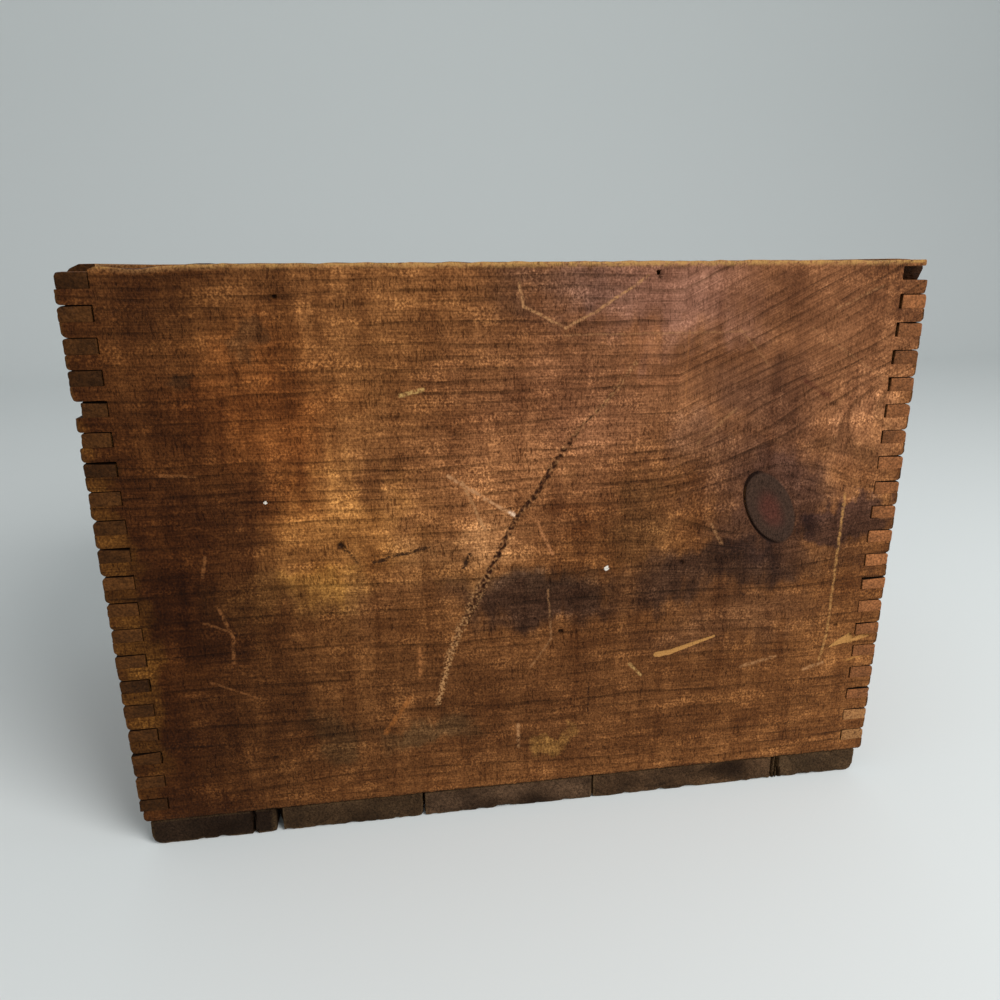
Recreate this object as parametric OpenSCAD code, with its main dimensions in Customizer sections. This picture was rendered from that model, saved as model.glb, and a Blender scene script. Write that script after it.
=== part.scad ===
// Comb-jointed pine packing box with an inset lid that turns on two nails.
// Millimetres, +Z up. The origin is on the ground under the middle of the box, and the front faces -Y.

/* [Box] */
// Length along the front, over the corner joints
box_w = 375; // [300:1:520]
// Depth from front to back, over the corner joints
box_d = 245; // [180:1:360]
// Height of the four walls, without the base
wall_h = 257; // [150:1:340]
// Thickness of the front and back boards
side_t = 12.7; // [9:0.1:16]
// Thickness of the end boards
end_t = 12.7; // [9:0.1:16]
// Radius worn on the four upright corners
corner_ease = 1.5; // [0.5:0.1:3]

/* [Comb joint] */
// Height of one finger
finger_h = 6.35; // [5:0.05:10]
// Gap left between neighbouring fingers
finger_gap = 0.15; // [0.05:0.05:0.4]
// How much deeper a notch is cut than the board that it takes
notch_overrun = 0.8; // [0.2:0.1:2]
// Root left standing where the top right finger has broken away
broken_root = 4; // [2:0.5:8]

/* [Base] */
// Thickness of the base boards
base_t = 14; // [9:0.1:18]
// How far the base stands back from the front and back faces
base_set_y = 0.6; // [0.5:0.1:3]
// How far the base stands back from the end faces
base_set_x = 3.2; // [1:0.1:5]
// Radius worn on the lower edge at each end of the base
base_round = 6.5; // [2:0.5:8]
// Width of the first base board, at the left
base_1_w = 59; // [45:0.5:75]
// Width of the second base board
base_2_w = 70; // [50:0.5:80]
// Width of the third base board
base_3_w = 87.5; // [60:0.5:95]
// Width of the fifth base board, at the right; the fourth fills what is left
base_5_w = 46; // [40:0.5:60]
// Gap where two base boards still meet tightly
base_gap = 0.4; // [0.1:0.1:1]
// Gap where the first two base boards have drawn apart
base_open_gap = 3; // [0.5:0.1:4]

/* [Lid] */
// Thickness of the lid boards
lid_t = 9.5; // [8:0.1:12]
// How far the lid lies below the top of the walls
lid_drop = 0.5; // [0.3:0.1:2]
// Gap between the lid and the ends and front of the box
lid_gap = 1.5; // [0.8:0.1:3]
// Gap between the rounded back edge of the lid and the back board
lid_back_gap = 1.2; // [0.8:0.1:3]
// Width of the front lid board; the back one fills what is left
lid_front_w = 112; // [80:1:130]
// Gap between the two lid boards
lid_board_gap = 0.5; // [0.2:0.1:1.5]
// Radius of the thumb notch in the front edge
thumb_r = 13; // [10:0.5:20]
// Width of a batten under the lid
batten_w = 32; // [20:1:45]
// Thickness of a batten
batten_t = 9.5; // [6:0.1:12]
// Distance from the end of the lid to a batten
batten_inset = 38; // [28:1:60]
// Distance from the front edge and from the pivot to the ends of a batten
batten_short = 20; // [12:1:40]
// Bevel on the lower edge at each end of a batten
batten_bevel = 5; // [1:0.5:6]

/* [Lid rests] */
// Length of a lid rest along the end board
rest_l = 120; // [60:1:130]
// Width of a lid rest
rest_w = 12; // [8:0.5:16]
// Height of a lid rest
rest_h = 10; // [7:0.5:14]

/* [Nails] */
// Shank diameter of a pivot nail
pivot_d = 2.8; // [2.2:0.1:4]
// Length of a pivot nail under its head
pivot_l = 38; // [30:0.5:45]
// Shank diameter of a base nail
base_nail_d = 2; // [1.6:0.1:2.6]
// Length of a base nail with its head
base_nail_l = 34; // [26:0.5:40]
// Shank diameter of a lid nail
lid_nail_d = 1.8; // [1.4:0.1:2.4]
// Wood left under the point of a lid nail
lid_nail_left = 2.5; // [1:0.5:4]
// Shank diameter of a brad in the lid rests
brad_d = 1.4; // [1:0.1:2]
// Length of a brad with its head
brad_l = 20; // [16:0.5:21]
// How far a nail head is set below the wood around it
nail_set = 0.3; // [0.1:0.1:0.8]
// Radial room round a nail that is driven tight
tight_fit = 0.02; // [0.01:0.01:0.05]
// Radial room round a pivot nail in the lid
pivot_fit = 0.08; // [0.03:0.01:0.1]

/* [Hidden] */
$fn = 48;

// How far a cutting shape runs past the face that it cuts
cut = 1;
// Head proportions of a wire nail, in shank diameters
head_wide = 2.4;
head_thick = 0.45;
// Point length of a wire nail, in shank diameters
point_long = 1.6;

// Comb joint: even levels are fingers of the front and back, odd ones are fingers of the ends
level_count = ceil(wall_h / finger_h);
top_side_level = level_count - 1 - (level_count - 1) % 2;
top_end_level = level_count - 1 - level_count % 2;
wall_top = base_t + wall_h;

// Base boards, each as its left and right edge along X
base_left = -box_w / 2 + base_set_x;
base_right = box_w / 2 - base_set_x;
base_2_left = base_left + base_1_w + base_open_gap;
base_3_left = base_2_left + base_2_w + base_gap;
base_4_left = base_3_left + base_3_w + base_gap;
base_5_left = base_right - base_5_w;
base_edges = [
    [base_left, base_left + base_1_w],
    [base_2_left, base_2_left + base_2_w],
    [base_3_left, base_3_left + base_3_w],
    [base_4_left, base_5_left - base_gap],
    [base_5_left, base_right]
];

// Lid, which turns about a line along X through the middle of its rounded back edge
inner_front = -box_d / 2 + side_t;
inner_back = box_d / 2 - side_t;
inner_end = box_w / 2 - end_t;
lid_l = 2 * (inner_end - lid_gap);
lid_front = inner_front + lid_gap;
lid_under = wall_top - lid_drop - lid_t;
pivot_y = inner_back - lid_back_gap - lid_t / 2;
pivot_z = lid_under + lid_t / 2;
lid_seam = lid_front + lid_front_w;
batten_front = lid_front + batten_short;
batten_back = pivot_y - batten_short;
batten_x = lid_l / 2 - batten_inset - batten_w / 2;

// Nail places
end_nail_x = inner_end + end_t / 4;
end_nail_y = box_d / 4;
lid_nail_ys = [
    for (run = [[batten_front, lid_seam], [lid_seam + lid_board_gap, batten_back]])
        for (share = [1 / 4, 3 / 4]) run[0] + share * (run[1] - run[0])
];
brad_ys = [for (share = [1 / 6, 1 / 2, 5 / 6]) inner_front + share * rest_l];
brad_z = lid_under - rest_h / 2;

// A wire nail along +Z with the top of its head at zero; with a fit it is the hole and head pocket that it fills
module nail(shank_d, length, fit = 0) {
    head_t = head_thick * shank_d;
    point_l = point_long * shank_d;
    shank_r = shank_d / 2 + fit;
    pocket = fit > 0 ? cut : 0;
    translate([0, 0, -pocket]) cylinder(h = head_t + pocket, r = head_wide * shank_d / 2 + fit);
    cylinder(h = length - point_l, r = shank_r);
    translate([0, 0, length - point_l]) cylinder(h = point_l + 2 * fit, r1 = shank_r, r2 = 0);
}

// Nails up through the base into the walls, two at each end of a board and three along each end of the box
module base_nail_set(fit = 0) {
    for (edges = base_edges)
        for (share = [1 / 3, 2 / 3])
            for (y = [-1, 1] * (box_d / 2 - side_t / 2))
                translate([edges[0] + share * (edges[1] - edges[0]), y, nail_set])
                    nail(base_nail_d, base_nail_l, fit);
    for (x = [-1, 1] * end_nail_x)
        for (step = [-1, 0, 1])
            translate([x, step * end_nail_y, nail_set]) nail(base_nail_d, base_nail_l, fit);
}

// Brads through the lid rests into the end boards
module brad_set(fit = 0) {
    for (side = [-1, 1])
        for (y = brad_ys)
            translate([side * (inner_end - rest_w + nail_set), y, brad_z])
                rotate([0, side * 90, 0]) nail(brad_d, brad_l, fit);
}

// A pivot nail through an end board into the lid, with its head outside
module pivot_nail(side, fit = 0) {
    head_t = head_thick * pivot_d;
    translate([side * (box_w / 2 + head_t), pivot_y, pivot_z])
        rotate([0, -side * 90, 0]) nail(pivot_d, pivot_l + head_t, fit);
}

// Nails down through the lid boards into the battens
module lid_nail_set(fit = 0) {
    for (x = [-1, 1] * batten_x)
        for (y = lid_nail_ys)
            translate([x, y, lid_under + lid_t - nail_set])
                mirror([0, 0, 1]) nail(lid_nail_d, lid_t + batten_t - nail_set - lid_nail_left, fit);
}

// One board of the comb joint, flat, with its notches at every second level from first_notch up
module comb_outline(length, notch_l, first_notch) {
    difference() {
        translate([-length / 2, 0]) square([length, wall_h]);
        for (level = [first_notch : 2 : level_count - 1])
            for (side = [0, 1])
                mirror([side, 0])
                    translate([length / 2 - notch_l, level * finger_h - finger_gap / 2])
                        square([notch_l + cut, finger_h + finger_gap]);
    }
}

// The upright column that the four walls fill, with its corners worn round
module worn_corners() {
    w = box_w - 2 * corner_ease;
    d = box_d - 2 * corner_ease;
    translate([0, 0, base_t - cut])
        linear_extrude(wall_h + 2 * cut)
            union() {
                square([w, box_d], center = true);
                square([box_w, d], center = true);
                for (x = [-1, 1] * w / 2)
                    for (y = [-1, 1] * d / 2)
                        translate([x, y]) circle(corner_ease);
            }
}

// A front or back board, on the side of the box given by side
module side_board(side) {
    intersection() {
        translate([0, side < 0 ? inner_front : box_d / 2, base_t])
            rotate([90, 0, 0])
                linear_extrude(side_t) comb_outline(box_w, end_t + notch_overrun, 1);
        worn_corners();
    }
}

// A left or right end board
module end_board(side) {
    intersection() {
        translate([side < 0 ? -box_w / 2 : inner_end, 0, base_t])
            rotate([90, 0, 90])
                linear_extrude(end_t) comb_outline(box_d, side_t + notch_overrun, 0);
        worn_corners();
    }
}

// The front has lost the short finger at its top left corner
module front_board() color("#7a4a26")
    difference() {
        side_board(-1);
        translate([-box_w / 2 - cut, -box_d / 2 - cut, base_t + top_side_level * finger_h - finger_gap])
            cube([end_t + cut, side_t + 2 * cut, finger_h + finger_gap]);
        base_nail_set(tight_fit);
    }

module back_board() color("#7a4a26")
    difference() {
        side_board(1);
        base_nail_set(tight_fit);
    }

module left_end_board() color("#6d4526")
    difference() {
        end_board(-1);
        base_nail_set(tight_fit);
        brad_set(tight_fit);
        pivot_nail(-1, tight_fit);
    }

// The right end has lost most of its top front finger, on a slanting break
module right_end_board() color("#7d4f2c")
    difference() {
        end_board(1);
        translate([0, 0, base_t + top_end_level * finger_h - finger_gap])
            linear_extrude(finger_h + 2 * finger_gap)
                polygon([
                    [inner_end - cut, -box_d / 2 - cut],
                    [box_w / 2 + cut, -box_d / 2 - cut],
                    [box_w / 2 + cut, inner_front + notch_overrun],
                    [inner_end - cut, inner_front + notch_overrun - broken_root]
                ]);
        base_nail_set(tight_fit);
        brad_set(tight_fit);
        pivot_nail(1, tight_fit);
    }

// A base board, which runs from front to back; round_side is the end of the base that it rounds, or zero
module base_board(edges, round_side) color("#4a3a2c")
    difference() {
        translate([0, box_d / 2 - base_set_y, 0])
            rotate([90, 0, 0])
                linear_extrude(box_d - 2 * base_set_y)
                    difference() {
                        translate([edges[0], 0]) square([edges[1] - edges[0], base_t]);
                        if (round_side != 0) round_cut(round_side);
                    }
        base_nail_set(tight_fit);
    }

// The corner that wear takes off the lower edge at one end of the base
module round_cut(side) {
    mirror([side < 0 ? 1 : 0, 0])
        difference() {
            translate([base_right - base_round, -cut]) square([base_round + cut, base_round + cut]);
            translate([base_right - base_round, base_round]) circle(base_round);
        }
}

module base_nails() color("#4b4743") base_nail_set();

// A strip nailed inside an end board, on which the closed lid lies
module lid_rest(side) color("#9a6c3e")
    difference() {
        translate([side < 0 ? -inner_end : inner_end - rest_w, inner_front, lid_under - rest_h])
            cube([rest_w, rest_l, rest_h]);
        brad_set(tight_fit);
    }

module lid_rest_brads() color("#5a5550") brad_set();

// The front lid board, with a half-round notch for the thumb
module lid_front_board() color("#8a5a32")
    difference() {
        translate([-lid_l / 2, lid_front, lid_under]) cube([lid_l, lid_front_w, lid_t]);
        translate([0, lid_front, lid_under - cut]) cylinder(h = lid_t + 2 * cut, r = thumb_r);
        lid_nail_set(tight_fit);
    }

// The back lid board, whose back edge is rounded about the pivot nails
module lid_back_board() color("#84552f")
    difference() {
        back_start = lid_seam + lid_board_gap;
        translate([-lid_l / 2, 0, 0])
            rotate([90, 0, 90])
                linear_extrude(lid_l)
                    union() {
                        translate([back_start, lid_under]) square([pivot_y - back_start, lid_t]);
                        translate([pivot_y, pivot_z]) circle(lid_t / 2);
                    }
        for (side = [-1, 1]) pivot_nail(side, pivot_fit);
        lid_nail_set(tight_fit);
    }

// A batten across the underside, bevelled at both ends
module lid_batten(side) color("#94663a")
    difference() {
        translate([side * batten_x - batten_w / 2, 0, 0])
            rotate([90, 0, 90])
                linear_extrude(batten_w)
                    polygon([
                        [batten_front, lid_under],
                        [batten_front, lid_under - batten_t + batten_bevel],
                        [batten_front + batten_bevel, lid_under - batten_t],
                        [batten_back - batten_bevel, lid_under - batten_t],
                        [batten_back, lid_under - batten_t + batten_bevel],
                        [batten_back, lid_under]
                    ]);
        lid_nail_set(tight_fit);
    }

module lid_nails() color("#5a5550") lid_nail_set();

front_board();
back_board();
left_end_board();
right_end_board();
base_board(base_edges[0], -1);  // base_board_1
base_board(base_edges[1], 0);  // base_board_2
base_board(base_edges[2], 0);  // base_board_3
base_board(base_edges[3], 0);  // base_board_4
base_board(base_edges[4], 1);  // base_board_5
base_nails();
lid_rest(-1);  // lid_rest_left
lid_rest(1);  // lid_rest_right
lid_rest_brads();
lid_front_board();
lid_back_board();
lid_batten(-1);  // lid_batten_left
lid_batten(1);  // lid_batten_right
lid_nails();
color("#5a5550") pivot_nail(-1);  // pivot_nail_left
color("#5a5550") pivot_nail(1);  // pivot_nail_right
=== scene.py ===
import contextlib
import math
import random

import bmesh
import bpy
from mathutils import Matrix, Vector, noise


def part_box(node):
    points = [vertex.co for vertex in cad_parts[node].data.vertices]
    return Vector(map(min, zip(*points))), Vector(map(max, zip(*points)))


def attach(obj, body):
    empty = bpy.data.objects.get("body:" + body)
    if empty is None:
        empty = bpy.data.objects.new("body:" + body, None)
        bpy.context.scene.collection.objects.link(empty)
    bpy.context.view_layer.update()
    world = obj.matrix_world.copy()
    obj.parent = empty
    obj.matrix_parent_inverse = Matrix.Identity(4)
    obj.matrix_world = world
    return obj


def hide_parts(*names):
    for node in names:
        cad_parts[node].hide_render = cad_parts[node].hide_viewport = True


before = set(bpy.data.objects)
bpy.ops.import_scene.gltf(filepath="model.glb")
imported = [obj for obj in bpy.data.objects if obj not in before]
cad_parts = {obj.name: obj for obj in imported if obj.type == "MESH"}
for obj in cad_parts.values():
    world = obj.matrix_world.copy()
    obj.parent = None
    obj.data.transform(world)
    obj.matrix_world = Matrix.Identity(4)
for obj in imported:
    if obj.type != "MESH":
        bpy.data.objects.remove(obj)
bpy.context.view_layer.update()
mm = 0.001

# Camera. The box was photographed close up with a wide lens, from a point level with the top of its walls
# and a little left of the middle, looking down and slightly to the right.
front_low, front_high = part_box("front_board")
camera_left = 63 * mm
camera_away = 334.5 * mm
camera_under_top = 2.5 * mm
camera_turn = math.radians(-8.62)
camera_tilt = math.radians(90 - 16.73)
camera_roll = math.radians(-0.42)


def put(name, data):
    """A new object in the scene."""
    made = bpy.data.objects.new(name, data)
    bpy.context.collection.objects.link(made)
    return made


lens = bpy.data.cameras.new("camera")
lens.sensor_width = 36
lens.lens = 27.9
lens.clip_start = 10 * mm
camera = put("camera", lens)
camera_place = Vector((-camera_left, front_low.y - camera_away, front_high.z - camera_under_top))
camera.matrix_world = (
    Matrix.Translation(camera_place)
    @ Matrix.Rotation(camera_turn, 4, "Z")
    @ Matrix.Rotation(camera_tilt, 4, "X")
    @ Matrix.Rotation(camera_roll, 4, "Z")
)
bpy.context.scene.camera = camera
bpy.context.scene.view_settings.view_transform = "Standard"


# Studio. The box stands on a roll of pale grey paper that curves up behind it, under one large soft lamp
# from the upper right and an even light from all round.
def linear(code):
    """The linear colour of an sRGB hex code, with full alpha."""
    parts = [int(code[i:i + 2], 16) / 255 for i in (1, 3, 5)]
    return [p / 12.92 if p <= 0.04045 else ((p + 0.055) / 1.055) ** 2.4 for p in parts] + [1]


def add(tree, kind, feeds=(), out=0, **settings):
    """One node with its settings. kind may be followed by an operation, and a shader node's kind leaves out
    its first two words. feeds gives the inputs by name or in order, as values or nodes' outputs."""
    kind, *operation = kind.split()
    node = tree.nodes.new(kind if "Node" in kind else "ShaderNode" + kind)
    if operation:
        node.operation = operation[0]
    for setting, value in settings.items():
        setattr(node, setting, value)
    for socket, value in feeds.items() if isinstance(feeds, dict) else enumerate(feeds):
        if isinstance(value, bpy.types.NodeSocket):
            tree.links.new(value, node.inputs[socket])
        else:
            node.inputs[socket].default_value = value
    return node.outputs if out is None else node.outputs[out]


def bare_tree(owner):
    """The emptied node tree of a new material or world."""
    owner.use_nodes = True
    owner.node_tree.nodes.clear()
    return owner.node_tree


paper_half = 12.0
paper_front = -20.0
paper_back = 1.6
paper_curve = 0.9
paper_top = 3.0
curve_steps = 16
profile = [(paper_front, 0.0)]
for step in range(curve_steps + 1):
    angle = math.pi / 2 * step / curve_steps
    profile.append((paper_back + paper_curve * math.sin(angle), paper_curve * (1 - math.cos(angle))))
profile.append((paper_back + paper_curve, paper_top))
count = len(profile)
paper_mesh = bpy.data.meshes.new("paper")
paper_mesh.from_pydata(
    [(x, y, z) for x in (-paper_half, paper_half) for y, z in profile],
    [],
    [(i, i + count, i + count + 1, i + 1) for i in range(count - 1)],
)
paper_mesh.shade_smooth()
paper = put("paper", paper_mesh)
matt_paper = bpy.data.materials.new("matt background paper")
tree = bare_tree(matt_paper)
shade = add(tree, "BsdfPrincipled", {"Base Color": linear("#dfe3e2"), "Roughness": 0.9})
add(tree, "OutputMaterial", {"Surface": shade}, out=None)
paper_mesh.materials.append(matt_paper)

lamp = bpy.data.lights.new("soft lamp", "AREA")
lamp.shape = "DISK"
lamp.size = 1.1
lamp.energy = 30
lamp_place = Vector((0.95, -1.25, 1.25))
lamp_aim = Vector((0, -0.12, 0.13))
lamp_object = put("soft lamp", lamp)
lamp_object.location = lamp_place
lamp_object.rotation_euler = (lamp_aim - lamp_place).to_track_quat("-Z", "Y").to_euler()

world = bpy.data.worlds.new("even light")
tree = bare_tree(world)
sky = add(tree, "Background", {"Color": linear("#eef2f4"), "Strength": 0.55})
add(tree, "OutputWorld", {"Surface": sky}, out=None)
bpy.context.scene.world = world


# Sawing. Every board of the box was sawn and planed flat, and the walls were combed at both ends by machine.
# One tree of nodes cuts them all: a sheet of cells loses its notches and is drawn out to the board's
# thickness.
def new_tree(name, kind, inputs, outputs):
    """An empty group of nodes, with what is given to it."""
    tree = bpy.data.node_groups.new(name, kind)
    for labels, way in ((inputs, "INPUT"), (outputs, "OUTPUT")):
        for label, socket in labels.items():
            tree.interface.new_socket(label, in_out=way, socket_type="NodeSocket" + socket)
    return tree, add(tree, "NodeGroupInput", out=None)


sawn, given = new_tree("sawn board", "GeometryNodeTree", {
    "Length": "Float", "Width": "Float", "Thickness": "Float", "Column": "Float", "Row": "Float",
    "Edge strip": "Float", "Finger height": "Float", "Notch length": "Float", "First notch": "Float",
    "Lost low": "Vector", "Lost high": "Vector", "Material": "Material",
}, {"Board": "Geometry"})
columns = add(sawn, "Math DIVIDE", (given["Length"], given["Column"]))
columns = add(sawn, "Math CEIL", (columns,))
rows = add(sawn, "Math DIVIDE", (given["Width"], given["Row"]))
rows = add(sawn, "Math SUBTRACT", (rows, 0.01))
rows = add(sawn, "Math CEIL", (rows,))
sheet_width = add(sawn, "Math MULTIPLY", (rows, given["Row"]))
cells = add(sawn, "GeometryNodeMeshGrid", {
    "Size X": given["Length"],
    "Size Y": sheet_width,
    "Vertices X": add(sawn, "Math ADD", (columns, 1.0)),
    "Vertices Y": add(sawn, "Math ADD", (rows, 1.0)),
})
half_sheet = add(sawn, "Math MULTIPLY", (sheet_width, 0.5))
half_sheet = add(sawn, "CombineXYZ", {"Y": half_sheet})
cells = add(sawn, "GeometryNodeTransform", {"Geometry": cells, "Translation": half_sheet})
here = add(sawn, "GeometryNodeInputPosition")
x, y, z = add(sawn, "SeparateXYZ", (here,), out=None)
level = add(sawn, "Math DIVIDE", (y, given["Finger height"]))
level = add(sawn, "Math FLOOR", (level,))
level = add(sawn, "Math FLOORED_MODULO", (level, 2.0))
on_level = add(sawn, "Math COMPARE", (level, given["First notch"], 0.1))
half_length = add(sawn, "Math MULTIPLY", (given["Length"], 0.5))
notch_start = add(sawn, "Math SUBTRACT", (half_length, given["Notch length"]))
from_middle = add(sawn, "Math ABSOLUTE", (x,))
past_start = add(sawn, "Math GREATER_THAN", (from_middle, notch_start))
gone = add(sawn, "Math MULTIPLY", (on_level, past_start))
low_x, low_y = add(sawn, "SeparateXYZ", (given["Lost low"],), out=None)[:2]
high_x, high_y = add(sawn, "SeparateXYZ", (given["Lost high"],), out=None)[:2]
lost = add(sawn, "Math GREATER_THAN", (x, low_x))
for value, limit, rule in ((x, high_x, "LESS_THAN"), (y, low_y, "GREATER_THAN"), (y, high_y, "LESS_THAN")):
    within = add(sawn, "Math " + rule, (value, limit))
    lost = add(sawn, "Math MULTIPLY", (lost, within))
gone = add(sawn, "Math MAXIMUM", (gone, lost))
too_high = add(sawn, "Math GREATER_THAN", (y, given["Width"]))
gone = add(sawn, "Math MAXIMUM", (gone, too_high))
cells = add(sawn, "GeometryNodeDeleteGeometry", {"Geometry": cells, "Selection": gone}, domain="FACE")

# The topmost cells end at the board's edge, however much of their row is left.
half_row = add(sawn, "Math MULTIPLY", (given["Row"], 0.51))
top_row = add(sawn, "Math SUBTRACT", (given["Width"], half_row))
at_top = add(sawn, "Math GREATER_THAN", (y, top_row))
top_place = add(sawn, "CombineXYZ", (x, given["Width"], z))
cells = add(sawn, "GeometryNodeSetPosition", {"Geometry": cells, "Selection": at_top, "Position": top_place})

# The sheet is drawn out in four steps, so that a narrow strip of cells runs along each arris.
underside = add(sawn, "GeometryNodeFlipFaces", {"Mesh": cells})
half_core = add(sawn, "Math MULTIPLY", (given["Thickness"], 0.5))
half_core = add(sawn, "Math SUBTRACT", (half_core, given["Edge strip"]))
drawn = cells
feeds = {"Individual": False}
for step in (given["Edge strip"], half_core, half_core, given["Edge strip"]):
    feeds["Mesh"] = drawn
    feeds["Offset"] = add(sawn, "CombineXYZ", {"Z": step})
    drawn, feeds["Selection"] = add(sawn, "GeometryNodeExtrudeMesh", feeds, out=None)[:2]
joined = add(sawn, "GeometryNodeJoinGeometry", (drawn,))
sawn.links.new(underside, joined.node.inputs[0])
whole = add(sawn, "GeometryNodeMergeByDistance", {"Geometry": joined, "Distance": 0.01 * mm})
whole = add(sawn, "GeometryNodeRealizeInstances", {"Geometry": whole})
whole = add(sawn, "GeometryNodeSetMaterial", {"Geometry": whole, "Material": given["Material"]})
add(sawn, "NodeGroupOutput", {"Board": whole}, out=None)


def run_tree(tree, mesh, inputs, arris=0, cutter=None):
    """The plain mesh that a tree makes of a mesh, less a cutter's, with its sharp edges eased by arris."""
    rough = put(mesh.name, mesh)
    maker = rough.modifiers.new(tree.name, "NODES")
    maker.node_group = tree
    for item in tree.interface.items_tree:
        if item.name in inputs:
            maker[item.identifier] = inputs[item.name]
    if cutter:
        tool = put(cutter.name, cutter)
        rough.modifiers.new(cutter.name, "BOOLEAN").object = tool
    if arris:
        ease = rough.modifiers.new("eased arris", "BEVEL")
        ease.width = arris
        ease.segments = 2
        ease.limit_method = "ANGLE"
        ease.angle_limit = math.radians(50)
    made = bpy.data.meshes.new_from_object(rough.evaluated_get(bpy.context.evaluated_depsgraph_get()))
    made.name = mesh.name
    made.materials.clear()
    made.materials.append(inputs["Material"])
    bpy.data.objects.remove(rough)
    if cutter:
        bpy.data.objects.remove(tool)
    return made


def lay(origin, along, across):
    """The place of a board: its grain runs along and its width across, and it is thick from back to face."""
    along, across = Vector(along), Vector(across)
    axes = Matrix((along, across, along.cross(across))).transposed()
    return Matrix.Translation(origin) @ axes.to_4x4()


def fit(mesh, body, node, place=Matrix()):
    """A finished mesh, moved to its place, as the piece that stands for a node."""
    mesh.transform(place)
    mesh.shade_smooth()
    mesh.set_sharp_from_angle(angle=math.radians(38))
    piece = put(mesh.name, mesh)
    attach(piece, body)
    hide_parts(node)


# Pine. The boards are yellow pine, sawn and planed: soft dark lines of late wood a few millimetres apart,
# fine fibres along them, dark saw ticks and pale flecks across them, and drips and patches of aged finish.
# The flecks are drawn about twice as coarse as real pores, because finer ones would not show.
ring_step = 4.4

# Sizes are in millimetres: along the grain, across it and through the board.
grain_sizes = {
    "wander": (190, 80, 80), "ripple": (34, 14, 14), "faint": (24, 5, 5), "Fibre": (22, 0.7, 0.7),
    "Speckle": (0.9, 1.1, 1.1), "Upright": (1.0, 4.6, 4.6), "clusters": (22, 8, 8), "Patches": (40, 24, 24),
    "Drips": (8, 70, 70), "ragged": (15, 15, 15), "wide ragged": (55, 45, 45), "streaks": (5, 60, 60),
}
grain_detail = {
    "wander": 1.0, "ripple": 1.0, "streaks": 1.0, "wide ragged": 1.0, "Patches": 5.0, "ragged": 5.0,
    "clusters": 4.0,
}

# A colour mix takes its share from input 0 and its two colours from inputs 6 and 7.
eased = {"interpolation_type": "SMOOTHSTEP"}
mixed = {"out": 2, "data_type": "RGBA"}
multiplied = {**mixed, "blend_type": "MULTIPLY"}

figure, given = new_tree("pine figure", "ShaderNodeTree", {
    "Place": "Vector", "Grown": "Vector", "Ring step": "Float", "Pith across": "Float", "Pith deep": "Float",
    "Seed": "Float",
}, {
    "Rings": "Float", "Fibre": "Float", "Speckle": "Float", "Upright": "Float", "Ticks": "Float",
    "Flecks": "Float", "Patches": "Float", "Drips": "Float", "Ragged": "Vector",
})
seed_step = (317.0, 173.0, 91.0)
shift = add(figure, "VectorMath SCALE", {0: seed_step, "Scale": given["Seed"]})
grains = {}
for label, size in grain_sizes.items():
    spread = given["Grown"] if label in ("faint", "Fibre") else given["Place"]
    spread = add(figure, "VectorMath ADD", (spread, shift))
    spread = add(figure, "VectorMath MULTIPLY", (spread, [1 / s for s in size]))
    grain = {"Vector": spread, "Scale": 1.0, "Detail": grain_detail.get(label, 2.5), "Roughness": 0.6}
    grains[label] = add(figure, "TexNoise", grain, out="Color" if "ragged" in label else "Fac")
axes = add(figure, "SeparateXYZ", (given["Grown"],), out=None)
from_pith = add(figure, "Math SUBTRACT", (axes["Y"], given["Pith across"]))
from_deep = add(figure, "Math SUBTRACT", (axes["Z"], given["Pith deep"]))
radius = add(figure, "CombineXYZ", (from_pith, from_deep))
radius = add(figure, "VectorMath LENGTH", (radius,), out="Value")
for label, sway in (("wander", 18.0), ("ripple", 3.4)):
    radius = add(figure, "Math MULTIPLY_ADD", (grains[label], sway, radius))
turns = add(figure, "Math DIVIDE", (radius, given["Ring step"]))
share = add(figure, "Math FRACT", (turns,))
year = add(figure, "Math FLOOR", (turns,))
year = add(figure, "TexWhiteNoise", {"W": year}, noise_dimensions="1D")
year = add(figure, "MapRange", (year, 0.0, 1.0, 0.25, 1.0))
rise = add(figure, "MapRange", (share, 0.45, 0.9), **eased)
fall = add(figure, "MapRange", (share, 1.0, 0.92), **eased)
faint = add(figure, "MapRange", (grains["faint"], 0.34, 0.58, 0.2, 1.0))
rings = rise
for dimmed in (fall, year, faint):
    rings = add(figure, "Math MULTIPLY", (rings, dimmed))
rubbed = add(figure, "MapRange", (grains["clusters"], 0.48, 0.66), **eased)
flecks = add(figure, "MapRange", (grains["Speckle"], 0.44, 0.62), **eased)
flecks = add(figure, "Math MULTIPLY", (flecks, rubbed))
dented = add(figure, "MapRange", (grains["clusters"], 0.56, 0.42), **eased)
ticks = add(figure, "MapRange", (grains["Upright"], 0.52, 0.66), **eased)
ticks = add(figure, "Math MULTIPLY", (ticks, dented))
ragged = given["Place"]
for label, reach in (("ragged", 30.0), ("wide ragged", 50.0)):
    drift = add(figure, "VectorMath SUBTRACT", (grains[label], (0.5, 0.5, 0.5)))
    drift = add(figure, "VectorMath SCALE", {0: drift, "Scale": reach})
    ragged = add(figure, "VectorMath ADD", (ragged, drift))
streak = add(figure, "Math MULTIPLY_ADD", (grains["streaks"], 16.0, -8.0))
streak = add(figure, "CombineXYZ", {"Y": streak})
ragged = add(figure, "VectorMath ADD", (ragged, streak))
add(figure, "NodeGroupOutput", {
    "Rings": rings, "Ticks": ticks, "Flecks": flecks, "Ragged": ragged,
    **{label: grains[label] for label in ("Fibre", "Speckle", "Upright", "Patches", "Drips")},
}, out=None)


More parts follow.
